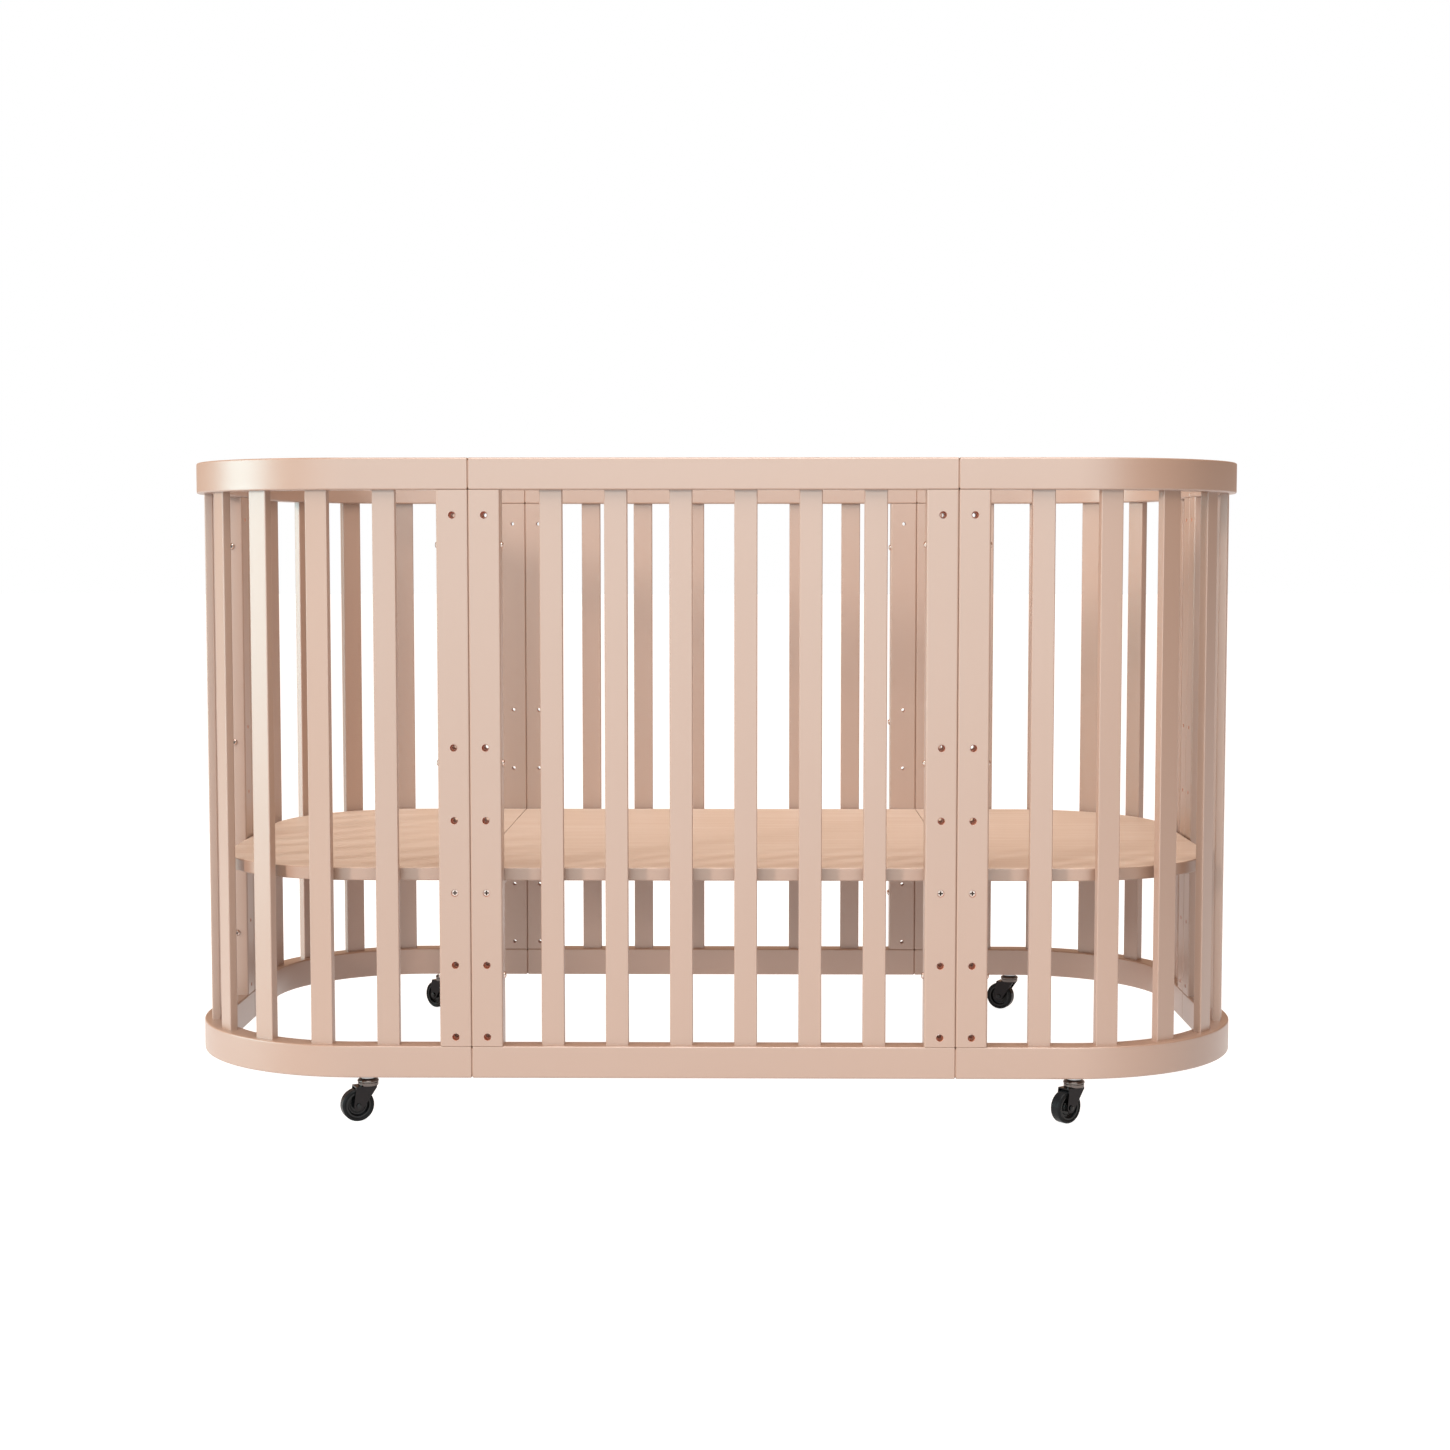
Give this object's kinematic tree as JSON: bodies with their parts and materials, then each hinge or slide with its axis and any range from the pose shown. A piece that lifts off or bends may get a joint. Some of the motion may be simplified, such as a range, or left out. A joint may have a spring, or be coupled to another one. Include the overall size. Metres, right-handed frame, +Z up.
{
  "type": "baby crib",
  "caption": "Oval slatted baby crib on swivel casters, with a height-adjustable mattress board and bolted wall modules.",
  "frame": {"origin": "on the floor, under the middle of the crib", "axes": "+X along the crib's length, -Y towards its front, +Z up"},
  "size_m": [1.27, 0.7314, 0.768],
  "materials": {
    "painted_wood": "satin dusty pink lacquer",
    "plain_wood": "smooth, clear matt oil",
    "bright_steel": "nickel plated",
    "zinc_steel": "dark zinc plated",
    "chrome": "polished",
    "black_plastic": "glossy",
    "tyre": "smooth, slightly glossy"
  },
  "bodies": {
    "frame": {"front_top_rail": "painted_wood", "front_bottom_rail": "painted_wood", "front_left_post": "painted_wood", "front_right_post": "painted_wood", "front_slats": "painted_wood", "back_top_rail": "painted_wood", "back_bottom_rail": "painted_wood", "back_left_post": "painted_wood", "back_right_post": "painted_wood", "back_slats": "painted_wood", "front_left_corner_top_rail": "painted_wood", "front_left_corner_bottom_rail": "painted_wood", "front_left_corner_side_post": "painted_wood", "front_left_corner_end_post": "painted_wood", "front_left_corner_slats": "painted_wood", "front_right_corner_top_rail": "painted_wood", "front_right_corner_bottom_rail": "painted_wood", "front_right_corner_side_post": "painted_wood", "front_right_corner_end_post": "painted_wood", "front_right_corner_slats": "painted_wood", "back_left_corner_top_rail": "painted_wood", "back_left_corner_bottom_rail": "painted_wood", "back_left_corner_side_post": "painted_wood", "back_left_corner_end_post": "painted_wood", "back_left_corner_slats": "painted_wood", "back_right_corner_top_rail": "painted_wood", "back_right_corner_bottom_rail": "painted_wood", "back_right_corner_side_post": "painted_wood", "back_right_corner_end_post": "painted_wood", "back_right_corner_slats": "painted_wood", "frame_dowels": "plain_wood", "seam_bolts": "bright_steel", "seam_nuts": "bright_steel", "board_brackets": "zinc_steel", "board_screws": "bright_steel", "caster_sockets": "zinc_steel"},
    "board": {"board_left": "plain_wood", "board_middle": "plain_wood", "board_right": "plain_wood", "board_battens": "plain_wood"},
    "front_left_swivel": {"front_left_caster_stem": "chrome", "front_left_caster_fork": "zinc_steel", "front_left_caster_axle": "black_plastic"},
    "front_left_wheel": {"front_left_caster_hub": "black_plastic", "front_left_caster_tyre": "tyre"},
    "front_right_swivel": {"front_right_caster_stem": "chrome", "front_right_caster_fork": "zinc_steel", "front_right_caster_axle": "black_plastic"},
    "front_right_wheel": {"front_right_caster_hub": "black_plastic", "front_right_caster_tyre": "tyre"},
    "back_left_swivel": {"back_left_caster_stem": "chrome", "back_left_caster_fork": "zinc_steel", "back_left_caster_axle": "black_plastic"},
    "back_left_wheel": {"back_left_caster_hub": "black_plastic", "back_left_caster_tyre": "tyre"},
    "back_right_swivel": {"back_right_caster_stem": "chrome", "back_right_caster_fork": "zinc_steel", "back_right_caster_axle": "black_plastic"},
    "back_right_wheel": {"back_right_caster_hub": "black_plastic", "back_right_caster_tyre": "tyre"}
  },
  "joints": [
    {"name": "board_lift", "type": "slide", "parent": "frame", "child": "board", "axis": [0, 0, 1], "range_m": [0, 0.168]},
    {"name": "front_left_caster_swivel", "type": "hinge", "parent": "frame", "child": "front_left_swivel", "pos_m": [-0.403, -0.341, 0.052], "axis": [0, 0, 1], "continuous": true},
    {"name": "front_left_wheel_roll", "type": "hinge", "parent": "front_left_swivel", "child": "front_left_wheel", "pos_m": [-0.41505, -0.34662, 0.019], "axis": [0.4226, -0.9063, 0], "continuous": true},
    {"name": "front_right_caster_swivel", "type": "hinge", "parent": "frame", "child": "front_right_swivel", "pos_m": [0.419, -0.341, 0.052], "axis": [0, 0, 1], "continuous": true},
    {"name": "front_right_wheel_roll", "type": "hinge", "parent": "front_right_swivel", "child": "front_right_wheel", "pos_m": [0.40866, -0.34937, 0.019], "axis": [0.6293, -0.7771, 0], "continuous": true},
    {"name": "back_left_caster_swivel", "type": "hinge", "parent": "frame", "child": "back_left_swivel", "pos_m": [-0.403, 0.341, 0.052], "axis": [0, 0, 1], "continuous": true},
    {"name": "back_left_wheel_roll", "type": "hinge", "parent": "back_left_swivel", "child": "back_left_wheel", "pos_m": [-0.41334, 0.34937, 0.019], "axis": [-0.6293, -0.7771, 0], "continuous": true},
    {"name": "back_right_caster_swivel", "type": "hinge", "parent": "frame", "child": "back_right_swivel", "pos_m": [0.419, 0.341, 0.052], "axis": [0, 0, 1], "continuous": true},
    {"name": "back_right_wheel_roll", "type": "hinge", "parent": "back_right_swivel", "child": "back_right_wheel", "pos_m": [0.40715, 0.34704, 0.019], "axis": [-0.454, -0.891, 0], "continuous": true}
  ]
}
